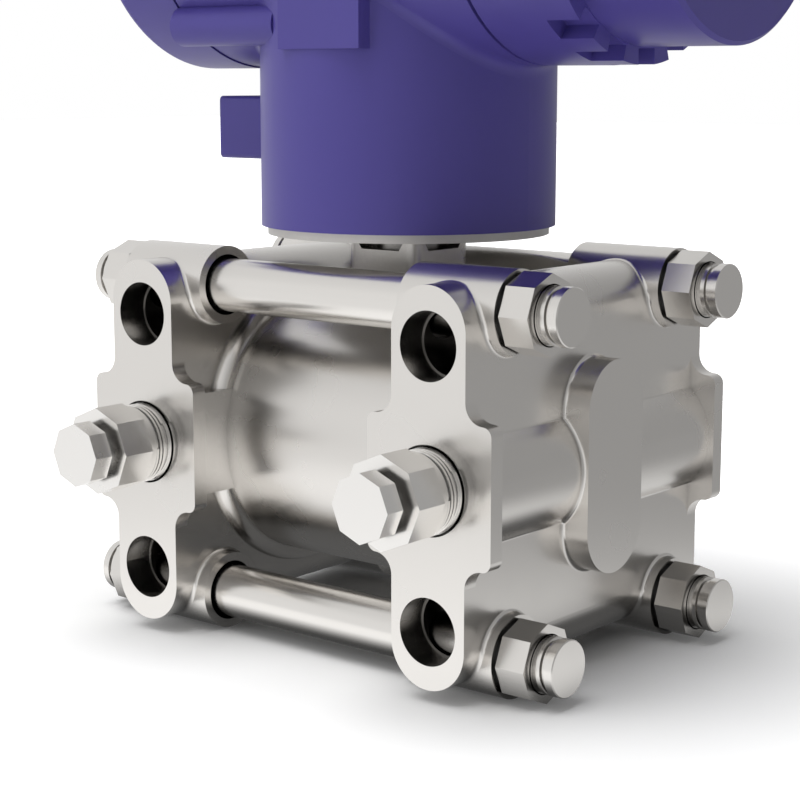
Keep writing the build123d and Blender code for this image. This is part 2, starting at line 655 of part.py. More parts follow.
with BuildPart() as swivel_lock_screw:
    with BuildSketch(across(TAB_END + SWIVEL_SCREW_SINK, TAB_MID_Z)) as swivel_screw_section:
        Circle(SWIVEL_SCREW_R - SCREW_GAP)
    extrude(amount=SWIVEL_SCREW_TIP - SWIVEL_SCREW_DOG - TAB_END - SWIVEL_SCREW_SINK)
    with BuildSketch(across(SWIVEL_SCREW_TIP - SWIVEL_SCREW_DOG, TAB_MID_Z)) as swivel_screw_dog:
        Circle(SWIVEL_SCREW_DOG_R)
    extrude(amount=SWIVEL_SCREW_DOG)
    with BuildSketch(across(TAB_END + SWIVEL_SCREW_SINK, TAB_MID_Z)) as swivel_screw_socket:
        RegularPolygon(SWIVEL_SOCKET_ACROSS / 2, KEY_SIDES, major_radius=False)
    extrude(amount=SWIVEL_SOCKET_DEPTH, mode=Mode.SUBTRACT)
finish("swivel_lock_screw", swivel_lock_screw.part)

# Front cover: a skirt with twenty notches for a bar, and a plain nose
COVER_BORE_R = COVER_THREAD_R + RUNNING_GAP
COVER_INNER_R = 21.2
GROOVE_R = 25.2
GROOVE_W = 1.8
GROOVE_SETBACK = 1.2
FRONT_COVER_START = 27.3
SKIRT_END = 43.8
NOSE_R = 23.7
NOSE_END = 59.0
NOSE_CHAMFER = 0.6
END_WALL = 2.5
NOTCHES = 20
NOTCH_START = 38.3
NOTCH_WIDTH = 4.27
NOTCH_FLOOR_R = 23.9
NOTCH_TURN = -88.9
FRONT_BORE_END = 37.0

with BuildPart() as front_cover:
    with BuildSketch(level(HOUSING_Z)) as front_cover_profile:
        groove_x = FRONT_COVER_START + GROOVE_SETBACK
        with BuildLine():
            Polyline(
                (FRONT_COVER_START, COVER_BORE_R),
                (groove_x, COVER_BORE_R),
                (groove_x, GROOVE_R),
                (groove_x + GROOVE_W, GROOVE_R),
                (groove_x + GROOVE_W, COVER_BORE_R),
                (FRONT_BORE_END, COVER_BORE_R),
                (FRONT_BORE_END, COVER_INNER_R),
                (NOSE_END - END_WALL, COVER_INNER_R),
                (NOSE_END - END_WALL, 0),
                (NOSE_END, 0),
                (NOSE_END, NOSE_R - NOSE_CHAMFER),
                (NOSE_END - NOSE_CHAMFER, NOSE_R),
                (SKIRT_END, NOSE_R),
                (SKIRT_END, HOUSING_R),
                (FRONT_COVER_START, HOUSING_R),
                close=True,
            )
        make_face()
    revolve(axis=HOUSING_AXIS)
    with BuildSketch(across(NOTCH_START, HOUSING_Z)) as bar_notches:
        with PolarLocations((NOTCH_FLOOR_R + GROOVE_R + GROOVE_W) / 2, NOTCHES, NOTCH_TURN):
            Rectangle(GROOVE_R + GROOVE_W - NOTCH_FLOOR_R, NOTCH_WIDTH)
    extrude(amount=SKIRT_END - NOTCH_START, mode=Mode.SUBTRACT)
finish("front_cover", front_cover.part)

# Rear cover: a plain cap
REAR_COVER_START = -31.15
REAR_COVER_R = 26.5
REAR_COVER_END = -44.0
REAR_BORE_END = -40.0
REAR_EDGE_R = 1.2

with BuildPart() as rear_cover:
    with BuildSketch(level(HOUSING_Z)) as rear_cover_profile:
        groove_x = REAR_COVER_START - GROOVE_SETBACK
        with BuildLine():
            Polyline(
                (REAR_COVER_START, COVER_BORE_R),
                (groove_x, COVER_BORE_R),
                (groove_x, GROOVE_R),
                (groove_x - GROOVE_W, GROOVE_R),
                (groove_x - GROOVE_W, COVER_BORE_R),
                (REAR_BORE_END, COVER_BORE_R),
                (REAR_BORE_END, COVER_INNER_R),
                (REAR_COVER_END + END_WALL, COVER_INNER_R),
                (REAR_COVER_END + END_WALL, 0),
                (REAR_COVER_END, 0),
                (REAR_COVER_END, REAR_COVER_R),
                (REAR_COVER_START, REAR_COVER_R),
                close=True,
            )
        make_face()
    revolve(axis=HOUSING_AXIS)
    fillet(rear_cover.edges().sort_by(Axis.X)[0], REAR_EDGE_R)
finish("rear_cover", rear_cover.part)

# Cover seals, one in each cover's groove
COVER_ORING_SECTION = 0.8
COVER_ORING_R = 24.35

for name, centre_x in (
    ("front_cover_oring", FRONT_COVER_START + GROOVE_SETBACK + GROOVE_W / 2),
    ("rear_cover_oring", REAR_COVER_START - GROOVE_SETBACK - GROOVE_W / 2),
):
    with BuildPart() as cover_oring:
        with BuildSketch(level(HOUSING_Z)) as cover_oring_section:
            with Locations((centre_x, COVER_ORING_R)):
                Circle(COVER_ORING_SECTION)
        revolve(axis=HOUSING_AXIS)
    finish(name, cover_oring.part)

# Boards behind the bulkhead, on spacers and three long screws
MAIN_BOARD_X = -16.0
RADIO_BOARD_X = -26.0
MAIN_BOARD_R = 19.5
RADIO_BOARD_R = 18.0
SPACER_R = 2.6
SPACER_TURN = 30.0
BOARD_SCREW_HEAD_R = 2.8
BOARD_SCREW_HEAD_T = 1.8
MAIN_CHIPS = ((-4.0, 4.0, 9.0, 9.0), (8.0, 1.0, 5.0, 8.0), (1.0, -8.0, 8.0, 5.0))
CAN_LENGTH = 15.0
CAN_CORNER_R = 1.0
CAN_T = 3.0

with BuildPart() as main_board:
    with BuildSketch(across(MAIN_BOARD_X - BOARD_T, HOUSING_Z)) as main_board_disc:
        Circle(MAIN_BOARD_R)
        with PolarLocations(BOARD_SCREW_CIRCLE, BOARD_SCREWS, BOARD_SCREW_TURN):
            Circle(BOARD_HOLE_R, mode=Mode.SUBTRACT)
    extrude(amount=BOARD_T)
    with BuildSketch(across(MAIN_BOARD_X - BOARD_T, HOUSING_Z)) as main_board_chips:
        for chip_y, chip_z, width, height in MAIN_CHIPS:
            with Locations((chip_y, chip_z)):
                Rectangle(width, height)
    extrude(amount=-CHIP_T)
finish("main_board", main_board.part)

with BuildPart() as radio_board:
    with BuildSketch(across(RADIO_BOARD_X - BOARD_T, HOUSING_Z)) as radio_board_disc:
        Circle(RADIO_BOARD_R)
        with PolarLocations(BOARD_SCREW_CIRCLE, BOARD_SCREWS, BOARD_SCREW_TURN):
            Circle(BOARD_HOLE_R, mode=Mode.SUBTRACT)
    extrude(amount=BOARD_T)
    with BuildSketch(across(RADIO_BOARD_X - BOARD_T, HOUSING_Z)) as radio_can:
        RectangleRounded(CAN_LENGTH, CAN_LENGTH, CAN_CORNER_R)
    extrude(amount=-CAN_T)
finish("radio_board", radio_board.part)

with BuildPart() as board_spacers:
    for start, length in (
        (MAIN_BOARD_X, BULKHEAD_REAR - MAIN_BOARD_X),
        (RADIO_BOARD_X, MAIN_BOARD_X - BOARD_T - RADIO_BOARD_X),
    ):
        with BuildSketch(across(start, HOUSING_Z)) as spacer_section:
            with PolarLocations(BOARD_SCREW_CIRCLE, BOARD_SCREWS, BOARD_SCREW_TURN):
                RegularPolygon(SPACER_R, KEY_SIDES, rotation=SPACER_TURN)
                Circle(BOARD_HOLE_R, mode=Mode.SUBTRACT)
        extrude(amount=length)
finish("board_spacers", board_spacers.part)

with BuildPart() as board_screws:
    screw_seat = RADIO_BOARD_X - BOARD_T
    with BuildSketch(across(screw_seat, HOUSING_Z)) as screw_shanks:
        with PolarLocations(BOARD_SCREW_CIRCLE, BOARD_SCREWS, BOARD_SCREW_TURN):
            Circle(BOARD_SCREW_R)
    extrude(amount=BOARD_SCREW_TIP - screw_seat)
    with BuildSketch(across(screw_seat, HOUSING_Z)) as screw_heads:
        with PolarLocations(BOARD_SCREW_CIRCLE, BOARD_SCREWS, BOARD_SCREW_TURN):
            Circle(BOARD_SCREW_HEAD_R)
    extrude(amount=-BOARD_SCREW_HEAD_T)
finish("board_screws", board_screws.part)

# Battery in its cradle, ahead of the bulkhead, between two flat contacts
CRADLE_BASE_R = 20.9
CRADLE_BASE_T = 4.0
CRADLE_R = 15.0
BATTERY_R = 13.1
BATTERY_FIT = 0.15
BATTERY_CHAMFER = 0.6
BATTERY_START = -3.5
BATTERY_SHOULDER = 45.0
BATTERY_TIP = 46.5
BATTERY_NUB_R = 3.2
CONTACT_R = 5.0
CONTACT_T = 0.5
CRADLE_END_T = 2.0
CRADLE_OPEN_Z = 3.0
CRADLE_X = BULKHEAD_FRONT + CRADLE_BASE_T
CRADLE_END_X = BATTERY_TIP + CONTACT_T + CRADLE_END_T

with BuildPart() as battery_cradle:
    with BuildSketch(across(BULKHEAD_FRONT, HOUSING_Z)) as cradle_base:
        Circle(CRADLE_BASE_R)
    extrude(amount=CRADLE_BASE_T)
    with BuildSketch(across(CRADLE_X, HOUSING_Z)) as cradle_tube:
        Circle(CRADLE_R)
        Circle(BATTERY_R + BATTERY_FIT, mode=Mode.SUBTRACT)
    extrude(amount=CRADLE_END_X - CRADLE_X)
    with BuildSketch(across(CRADLE_X, HOUSING_Z)) as cradle_window:
        with Locations((0, CRADLE_OPEN_Z + CRADLE_R / 2)):
            Rectangle(2 * CRADLE_R, CRADLE_R)
    extrude(amount=CRADLE_END_X - CRADLE_X, mode=Mode.SUBTRACT)
    with BuildSketch(across(CRADLE_END_X - CRADLE_END_T, HOUSING_Z)) as cradle_end:
        Circle(CRADLE_R)
    extrude(amount=CRADLE_END_T)
finish("battery_cradle", battery_cradle.part)

with BuildPart() as battery_cell:
    with BuildSketch(across(BATTERY_START, HOUSING_Z)) as battery_body:
        Circle(BATTERY_R)
    extrude(amount=BATTERY_SHOULDER - BATTERY_START)
    chamfer(battery_cell.edges().filter_by(GeomType.CIRCLE), BATTERY_CHAMFER)
    with BuildSketch(across(BATTERY_SHOULDER, HOUSING_Z)) as battery_nub:
        Circle(BATTERY_NUB_R)
    extrude(amount=BATTERY_TIP - BATTERY_SHOULDER)
finish("battery_cell", battery_cell.part)

with BuildPart() as battery_contacts:
    for start in (BATTERY_START - CONTACT_T, BATTERY_TIP):
        with BuildSketch(across(start, HOUSING_Z)) as contact_plate:
            Circle(CONTACT_R)
        extrude(amount=CONTACT_T)
finish("battery_contacts", battery_contacts.part)

# Antenna: a socket in the boss, a turning fork, a pin and a whip that tilts
SOCKET_BORE_R = 3.5
SOCKET_BOTTOM_Z = 107.5
SOCKET_FLANGE_R = 8.0
SOCKET_TOP_Z = 117.0
FORK_STEM_BOTTOM_Z = 109.0
FORK_BASE_R = 7.6
FORK_BASE_Z = 117.3
FORK_BASE_T = 2.2
FORK_R = 5.0
FORK_CHEEK_T = 2.4
FORK_SLOT = 6.4
TILT_Z = 126.5
TILT_PIN_R = 1.5
WHIP_TONGUE = 5.8
WHIP_TONGUE_R = 4.5
WHIP_START_Z = 132.2
WHIP_SHOULDER_Z = 136.0
WHIP_TOP_Z = 188.0
WHIP_ROOT_R = 4.9
WHIP_TIP_R = 3.9
ANTENNA_PLANE = Plane(origin=(ANTENNA_X, CELL_Y, 0), x_dir=(1, 0, 0), z_dir=(0, -1, 0))
ANTENNA_AXIS = Axis((ANTENNA_X, CELL_Y, 0), (0, 0, 1))

with BuildPart() as antenna_socket:
    with BuildSketch(antenna_level(SOCKET_BOTTOM_Z)) as socket_barrel:
        Circle(SOCKET_R)
    extrude(amount=ANTENNA_BOSS_Z - SOCKET_BOTTOM_Z)
    with BuildSketch(antenna_level(ANTENNA_BOSS_Z)) as socket_flange:
        RegularPolygon(SOCKET_FLANGE_R, KEY_SIDES)
    extrude(amount=SOCKET_TOP_Z - ANTENNA_BOSS_Z)
    with BuildSketch(antenna_level(SOCKET_BOTTOM_Z)) as socket_bore:
        Circle(SOCKET_BORE_R)
    extrude(amount=SOCKET_TOP_Z - SOCKET_BOTTOM_Z, mode=Mode.SUBTRACT)
finish("antenna_socket", antenna_socket.part)

with BuildPart() as antenna_fork:
    with BuildSketch(antenna_level(FORK_STEM_BOTTOM_Z)) as fork_stem:
        Circle(SOCKET_BORE_R - RUNNING_GAP)
    extrude(amount=FORK_BASE_Z - FORK_STEM_BOTTOM_Z)
    with BuildSketch(antenna_level(FORK_BASE_Z)) as fork_base:
        Circle(FORK_BASE_R)
    extrude(amount=FORK_BASE_T)
    with BuildSketch(ANTENNA_PLANE) as fork_outline:
        with Locations((0, (FORK_BASE_Z + TILT_Z) / 2)):
            Rectangle(2 * FORK_R, TILT_Z - FORK_BASE_Z)
        with Locations((0, TILT_Z)):
            Circle(FORK_R)
            Circle(TILT_PIN_R, mode=Mode.SUBTRACT)
    extrude(amount=FORK_SLOT / 2 + FORK_CHEEK_T, both=True)
    with BuildSketch(antenna_level(FORK_BASE_Z + FORK_BASE_T)) as fork_slot:
        Rectangle(2 * FORK_BASE_R, FORK_SLOT)
    extrude(amount=TILT_Z + FORK_R - FORK_BASE_Z - FORK_BASE_T, mode=Mode.SUBTRACT)
finish("antenna_fork", antenna_fork.part)

with BuildPart() as antenna_pin:
    with BuildSketch(ANTENNA_PLANE) as pin_section:
        with Locations((0, TILT_Z)):
            Circle(TILT_PIN_R)
    extrude(amount=FORK_SLOT / 2 + FORK_CHEEK_T, both=True)
finish("antenna_pin", antenna_pin.part)

with BuildPart() as antenna_whip:
    with BuildSketch(ANTENNA_PLANE) as whip_tongue:
        with Locations((0, (TILT_Z + WHIP_START_Z) / 2)):
            Rectangle(2 * WHIP_TONGUE_R, WHIP_START_Z - TILT_Z)
        with Locations((0, TILT_Z)):
            Circle(WHIP_TONGUE_R)
            Circle(TILT_PIN_R + RUNNING_GAP, mode=Mode.SUBTRACT)
    extrude(amount=WHIP_TONGUE / 2, both=True)
    with BuildSketch(ANTENNA_PLANE.shift_origin((ANTENNA_X, CELL_Y, WHIP_START_Z))) as whip_profile:
        rod_length = WHIP_TOP_Z - WHIP_START_Z
        with BuildLine():
            Polyline((0, rod_length), (0, 0), (WHIP_ROOT_R, 0), (WHIP_ROOT_R, WHIP_SHOULDER_Z - WHIP_START_Z))
            taper = Line((WHIP_ROOT_R, WHIP_SHOULDER_Z - WHIP_START_Z), (WHIP_TIP_R, rod_length - WHIP_TIP_R))
            RadiusArc(taper @ 1, (0, rod_length), -WHIP_TIP_R)
        make_face()
    revolve(axis=ANTENNA_AXIS)
finish("antenna_whip", antenna_whip.part)

for name, part in finished.items():
    export_step(part, f"parts/{name}.step")
    print(name, len(part.solids()), part.is_valid, round(part.volume))
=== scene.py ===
# %% [markdown]
# # A wireless pressure sensor in stainless steel and violet paint
# The construction is finished before this lesson starts: every casting, stud, cover and board comes in
# at its real size and place. What is left is what a maker would do last. We cut the thread turns, give
# each surface its finish, and light the object softly on a pale floor.

# %% Load the finished construction
import math

import bmesh
import bpy
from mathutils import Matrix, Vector


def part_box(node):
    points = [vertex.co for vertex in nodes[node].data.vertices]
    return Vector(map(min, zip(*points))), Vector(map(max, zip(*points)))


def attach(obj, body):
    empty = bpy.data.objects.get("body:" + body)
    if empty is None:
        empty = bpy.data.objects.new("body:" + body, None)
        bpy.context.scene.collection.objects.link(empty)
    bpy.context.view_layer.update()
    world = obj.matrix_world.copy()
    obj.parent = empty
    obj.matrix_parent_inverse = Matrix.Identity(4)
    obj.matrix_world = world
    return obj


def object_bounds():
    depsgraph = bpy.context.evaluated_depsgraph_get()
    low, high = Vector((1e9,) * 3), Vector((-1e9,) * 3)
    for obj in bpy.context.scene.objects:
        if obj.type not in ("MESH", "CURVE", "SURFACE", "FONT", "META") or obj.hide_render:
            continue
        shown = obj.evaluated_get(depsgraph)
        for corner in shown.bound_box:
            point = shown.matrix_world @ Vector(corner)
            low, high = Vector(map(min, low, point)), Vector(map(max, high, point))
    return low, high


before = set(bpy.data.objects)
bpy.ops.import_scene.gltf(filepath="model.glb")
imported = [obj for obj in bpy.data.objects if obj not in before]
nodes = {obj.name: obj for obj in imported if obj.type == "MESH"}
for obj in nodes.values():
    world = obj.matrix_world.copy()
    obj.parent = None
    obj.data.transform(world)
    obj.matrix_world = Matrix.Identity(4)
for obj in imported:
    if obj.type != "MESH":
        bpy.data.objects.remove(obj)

cad_low, cad_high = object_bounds()
print("nodes:", len(nodes), "height in mm:", round((cad_high.z - cad_low.z) * 1000, 1))

# %% [markdown]
# We work in metres, because Blender does, but a maker thinks in millimetres. One small value keeps both
# readable: 5 * MM is five millimetres. The operators act on whatever is selected, and the construction
# arrives selected, so the first helper clears the selection.

# %% Working units and selection
MM = 0.001


def deselect():
    """Leave nothing selected, so that the next operator acts on new work only."""
    bpy.ops.object.select_all(action="DESELECT")


def select_only(piece):
    """Select one piece and make it the active one."""
    deselect()
    piece.select_set(True)
    bpy.context.view_layer.objects.active = piece


def pick_vertices(piece, wanted):
    """In edit mode, select the vertices whose place passes the test."""
    mesh = bmesh.from_edit_mesh(piece.data)
    for vertex in mesh.verts:
        vertex.select_set(bool(wanted(vertex.co)))
    mesh.select_flush(True)
    mesh.select_flush(False)
    bmesh.update_edit_mesh(piece.data)


deselect()
print("selected now:", len(bpy.context.selected_objects))

# %% [markdown]
# ## Threads
# A thread is one ridge wound round a core like a spring. The cores are in the construction, a little
# thinner than the finished screw. We draw the ridge's section as a small plane, pinch its outer edge to
# make the flanks slope, and let the Screw modifier wind it. The crests are broad and the grooves narrow,
# as rolling leaves them. A wound ridge catches the light along a true helix, which stacked rings never do.

# %% Wind one thread ridge
STEPS_PER_TURN = 56
BASE_SHARE = 0.92
CREST_SHARE = 0.60
MERGE_MM = 0.001
SMOOTH_DEG = 35


def wind_thread(name, axis, pitch, turns, root, crest):
    """A helical ridge about the world's X or Y axis, starting at zero. Sizes are in millimetres."""
    along, out = (0, 1) if axis == "X" else (1, 0)
    middle = [0, 0, 0]
    middle[along] = pitch / 2 * MM
    middle[out] = (root + crest) / 2 * MM
    size = [1, 1, 1]
    size[along] = pitch * BASE_SHARE * MM
    size[out] = abs(crest - root) * MM
    pinch = [1, 1, 1]
    pinch[along] = CREST_SHARE / BASE_SHARE
    deselect()
    bpy.ops.mesh.primitive_plane_add(size=1, location=middle)
    ridge = bpy.context.object
    ridge.name = name
    bpy.ops.object.mode_set(mode="EDIT")
    bpy.ops.transform.resize(value=size)
    bpy.ops.mesh.delete(type="ONLY_FACE")
    bpy.ops.mesh.select_mode(type="VERT")
    toward_crest = 1 if crest > root else -1
    pick_vertices(ridge, lambda place: place[out] * toward_crest > 0)
    bpy.ops.transform.resize(value=pinch)
    bpy.ops.object.mode_set(mode="OBJECT")
    bpy.ops.object.transform_apply(location=True, rotation=True, scale=True)
    screw = ridge.modifiers.new("winding", "SCREW")
    screw.axis = axis
    screw.angle = 2 * math.pi * turns
    screw.screw_offset = pitch * turns * MM
    screw.steps = screw.render_steps = round(STEPS_PER_TURN * turns)
    bpy.ops.object.modifier_apply(modifier=screw.name)
    bpy.ops.object.mode_set(mode="EDIT")
    bpy.ops.mesh.select_all(action="SELECT")
    bpy.ops.mesh.remove_doubles(threshold=MERGE_MM * MM)
    bpy.ops.mesh.select_all(action="DESELECT")
    bpy.ops.mesh.select_non_manifold()
    bpy.ops.mesh.fill_holes(sides=0)
    bpy.ops.mesh.select_all(action="SELECT")
    bpy.ops.mesh.normals_make_consistent(inside=False)
    bpy.ops.object.mode_set(mode="OBJECT")
    bpy.ops.object.shade_smooth_by_angle(angle=math.radians(SMOOTH_DEG))
    return ridge


print("one turn is wound in", STEPS_PER_TURN, "steps")

# %% [markdown]
# What repeats is modelled once and copied. Each copy has a mesh of its own, and its place goes into that
# mesh, so the joined piece still has its origin at zero, as the castings have.

# %% Copy a piece to its places
def copy_to(piece, places):
    """Copies of a piece at the given places, joined into one piece whose origin stays at zero."""
    copies = []
    for place in places:
        select_only(piece)
        bpy.ops.object.duplicate()
        bpy.ops.transform.translate(value=place)
        bpy.ops.object.transform_apply(location=True, rotation=False, scale=False)
        copies.append(bpy.context.object)
    bpy.data.objects.remove(piece)
    deselect()
    for copy in copies:
        copy.select_set(True)
    bpy.context.view_layer.objects.active = copies[0]
    if len(copies) > 1:
        bpy.ops.object.join()
    return bpy.context.object


# %% [markdown]
# Beyond each nut a stud shows the last turn of its thread, and then a plain land out to its end.

# %% Thread turns on the stud ends
STUD_PITCH = 1.1
STUD_TURNS = 1.0
STUD_ROOT_R = 3.86
STUD_CREST_R = 4.25
STUD_THREAD_START = 43.15

stud_low, stud_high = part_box("stud_bolts")
cell_y = (stud_low.y + stud_high.y) / 2
stud_y = (stud_high.y - stud_low.y) / 2 - STUD_CREST_R * MM
stud_z = stud_high.z - STUD_CREST_R * MM
stud_ridge = wind_thread("stud_threads", "X", STUD_PITCH, STUD_TURNS, STUD_ROOT_R, STUD_CREST_R)
ridge_length = STUD_PITCH * (STUD_TURNS + 1) * MM
stud_places = [
    (start, cell_y + side * stud_y, height)
    for start in (STUD_THREAD_START * MM, -STUD_THREAD_START * MM - ridge_length)
    for side in (-1, 1)
    for height in (-stud_z, stud_z)
]
stud_threads = copy_to(stud_ridge, stud_places)
stud_threads.name = "stud_threads"
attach(stud_threads, "pressure_cell")
print("stud threads:", len(stud_threads.data.polygons), "faces")

# %% [markdown]
# Each vent valve has a finer thread on its shank, in view between the eight-sided head and the flange.

# %% Thread turns on the vent valves
VENT_PITCH = 0.7
VENT_TURNS = 2.9
VENT_ROOT_R = 5.94
VENT_CREST_R = 6.28
VENT_THREAD_START = -34.7

for side in ("left", "right"):
    body_low, body_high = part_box(f"vent_valve_body_{side}")
    centre_x = (body_low.x + body_high.x) / 2
    vent_ridge = wind_thread(f"vent_thread_{side}", "Y", VENT_PITCH, VENT_TURNS, VENT_ROOT_R, VENT_CREST_R)
    start = (centre_x, cell_y + VENT_THREAD_START * MM, 0)
    vent_thread = copy_to(vent_ridge, [start])
    vent_thread.name = f"vent_thread_{side}"
    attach(vent_thread, "pressure_cell")
print("vent thread:", len(vent_thread.data.polygons), "faces each")

# %% [markdown]
# The rear ports are tapped, so their thread points inwards. The same winding does it: the crest is now
# nearer the axis than the root.

# %% Tapped threads in the rear ports
PORT_PITCH = 1.41
PORT_TURNS = 8
PORT_WALL_R = 5.6
PORT_CREST_R = 5.1
PORT_THREAD_START = -13.6

for side in ("left", "right"):
    body_low, body_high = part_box(f"vent_valve_body_{side}")
    centre_x = (body_low.x + body_high.x) / 2
    port_ridge = wind_thread(f"port_thread_{side}", "Y", PORT_PITCH, PORT_TURNS, PORT_WALL_R, PORT_CREST_R)
    port_thread = copy_to(port_ridge, [(centre_x, PORT_THREAD_START * MM, 0)])
    port_thread.name = f"port_thread_{side}"
    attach(port_thread, "pressure_cell")
print("port thread:", len(port_thread.data.polygons), "faces each")

# %% [markdown]
# ## Finishes
# Every finish is made of a few nodes. One function writes a colour the way a paint chart does, as six
# hex digits, and another adds a node with its settings and its links. Patterns read the Object
# coordinates, which are metres here, so a grain of 0.3 mm has a noise scale of 1 / (0.3 * MM).

# %% Colour and node helpers
def linear(hex_digits):
    """A colour written as six hex digits, turned to the linear values that shaders use."""
    channels = [int(hex_digits[i:i + 2], 16) / 255 for i in (0, 2, 4)]
    bent = [c / 12.92 if c <= 0.04045 else ((c + 0.055) / 1.055) ** 2.4 for c in channels]
    return (*bent, 1.0)


def add_node(material, kind, inputs=None, **settings):
    """Add a node to a material or world. An input is a value, or a node's output, which is linked."""
    node = material.node_tree.nodes.new(kind)
    for name, value in settings.items():
        setattr(node, name, value)
    for name, value in (inputs or {}).items():
        if isinstance(value, bpy.types.NodeSocket):
            material.node_tree.links.new(value, node.inputs[name])
        else:
            node.inputs[name].default_value = value
    return node


def new_material(name):
    """An empty material with nodes, its output and its Object coordinates."""
    material = bpy.data.materials.new(name)
    material.use_nodes = True
    material.node_tree.nodes.clear()
    output = add_node(material, "ShaderNodeOutputMaterial")
    place = add_node(material, "ShaderNodeTexCoord").outputs["Object"]
    return material, output, place


def dress(piece, material):
    """Give a piece one material."""
    piece.data.materials.clear()
    piece.data.materials.append(material)


print("helpers ready, white is", linear("FFFFFF"))

# %% [markdown]
# Stainless steel is a metal, so it has no colour of its own apart from the tint of its reflections. What
# changes from part to part is how the surface was made. A casting is bead blasted: soft, even and a
# little cloudy. A turned part has fine rings, and a rolled thread is bright. One recipe covers them: a
# cloudy noise shifts the roughness, and a fine grain makes a faint bump. For turned parts the grain is
# stretched round the axis, so that it draws rings. Real blasting and turning are finer than a picture
# can show, so the grain is drawn coarser than it is, at 0.35 to 0.5 mm. Deep nooks, such as bolt holes
# and the gaps behind the nuts, get painted shade: an occlusion node darkens the base colour there, to
# stand in for steel that mirrors only more steel.

# %% Stainless steel finishes
CLOUD_SPAN = (0.3, 0.7)
NOOK_REACH_MM = 14
NOOK_SPAN = (0.08, 0.54)
NOOK_SHADE_SHARE = 0.22
NOOK_SAMPLES = 8


def stainless(name, tint, low_gloss, high_gloss, cloud_mm, grain_mm, bump_mm, stretch=(1, 1, 1)):
    """Stainless steel whose roughness runs from low_gloss to high_gloss. Grain sizes are in millimetres."""
    material, output, place = new_material(name)
    clouds = add_node(material, "ShaderNodeTexNoise", {
        "Vector": place, "Scale": 1 / (cloud_mm * MM), "Detail": 3.0})
    roughness = add_node(material, "ShaderNodeMapRange", {
        "Value": clouds.outputs["Fac"], "From Min": CLOUD_SPAN[0], "From Max": CLOUD_SPAN[1],
        "To Min": low_gloss, "To Max": high_gloss})
    stretched = add_node(material, "ShaderNodeMapping", {"Vector": place, "Scale": stretch})
    grain = add_node(material, "ShaderNodeTexNoise", {
        "Vector": stretched.outputs["Vector"], "Scale": 1 / (grain_mm * MM), "Detail": 2.0})
    bump = add_node(material, "ShaderNodeBump", {
        "Height": grain.outputs["Fac"], "Strength": 1.0, "Distance": bump_mm * MM})
    # Painted shade: the occlusion node darkens the steel's base colour in nooks and gaps.
    openness = add_node(material, "ShaderNodeAmbientOcclusion", {
        "Color": linear("FFFFFF"), "Distance": NOOK_REACH_MM * MM}, samples=NOOK_SAMPLES)
    painted_nook_shade = add_node(material, "ShaderNodeMapRange", {
        "Value": openness.outputs["AO"], "From Min": NOOK_SPAN[0], "From Max": NOOK_SPAN[1],
        "To Min": NOOK_SHADE_SHARE, "To Max": 1.0}, interpolation_type="SMOOTHSTEP")
    shade = add_node(material, "ShaderNodeVectorMath", {
        0: linear(tint)[:3], "Scale": painted_nook_shade.outputs["Result"]}, operation="SCALE")
    steel = add_node(material, "ShaderNodeBsdfPrincipled", {
        "Base Color": shade.outputs["Vector"], "Metallic": 1.0, "Roughness": roughness.outputs["Result"],
        "Normal": bump.outputs["Normal"]})
    material.node_tree.links.new(steel.outputs["BSDF"], output.inputs["Surface"])
    return material


# Bead blasting gives the castings an even satin skin, with broad soft highlights.
blasted_casting = stainless("bead_blasted_cast_stainless", "E4E1DD", 0.24, 0.28, 12.0, 0.35, 0.00015)
# Turning leaves rings round the barrel, which spread a highlight along it.
turned_barrel = stainless("turned_stainless_barrel", "E2DFDB", 0.26, 0.30, 12.0, 0.5, 0.0002, (1, 0.02, 0.02))
# The vent valves are turned and then polished, and read as the palest steel.
vent_steel = stainless("turned_vent_stainless", "F6F4F1", 0.24, 0.28, 6.0, 0.4, 0.0001)
# Drawn and rolled rod is bright, with long clean streaks of light.
drawn_rod = stainless("drawn_stainless_rod", "E6E3DF", 0.20, 0.25, 8.0, 0.4, 0.0002, (1, 0.03, 0.03))
# Milled nuts have flat bright faces, each of one tone.
milled_nut = stainless("milled_stainless_nut", "E4E1DD", 0.20, 0.25, 6.0, 0.4, 0.0002)
print("steel finishes:", blasted_casting.name, turned_barrel.name, drawn_rod.name, milled_nut.name)

# %% [markdown]
# The housing is an aluminium casting with a violet powder coat. The powder melts into a smooth film with
# a faint orange peel. It is satin rather than glossy. Real peel is a few tenths of a millimetre across,
# and it is drawn a little coarser, so that it shows.

# %% Violet powder coat
COAT_HEX = "544B9A"
PEEL_MM = 0.9
PEEL_DEPTH_MM = 0.003
FILM_MM = 14
COAT_ROUGHNESS = (0.34, 0.44)
COAT_SPECULAR = 0.35

powder_coat, coat_output, coat_place = new_material("violet_powder_coat")
peel = add_node(powder_coat, "ShaderNodeTexNoise", {
    "Vector": coat_place, "Scale": 1 / (PEEL_MM * MM), "Detail": 2.0})
peel_bump = add_node(powder_coat, "ShaderNodeBump", {
    "Height": peel.outputs["Fac"], "Strength": 1.0, "Distance": PEEL_DEPTH_MM * MM})
film = add_node(powder_coat, "ShaderNodeTexNoise", {
    "Vector": coat_place, "Scale": 1 / (FILM_MM * MM), "Detail": 2.0})
film_roughness = add_node(powder_coat, "ShaderNodeMapRange", {
    "Value": film.outputs["Fac"], "To Min": COAT_ROUGHNESS[0], "To Max": COAT_ROUGHNESS[1]})
coat = add_node(powder_coat, "ShaderNodeBsdfPrincipled", {
    "Base Color": linear(COAT_HEX), "Roughness": film_roughness.outputs["Result"],
    "Specular IOR Level": COAT_SPECULAR, "Normal": peel_bump.outputs["Normal"]})
powder_coat.node_tree.links.new(coat.outputs["BSDF"], coat_output.inputs["Surface"])
print("housing finish:", powder_coat.name)

# %% [markdown]
# The small and the hidden pieces have plain finishes of their own: rubber for the seals, glass fibre
# board for the electronics, nylon for the cradle and the antenna. Each still gets a fine grain, because a
# perfectly even surface looks like a drawing.

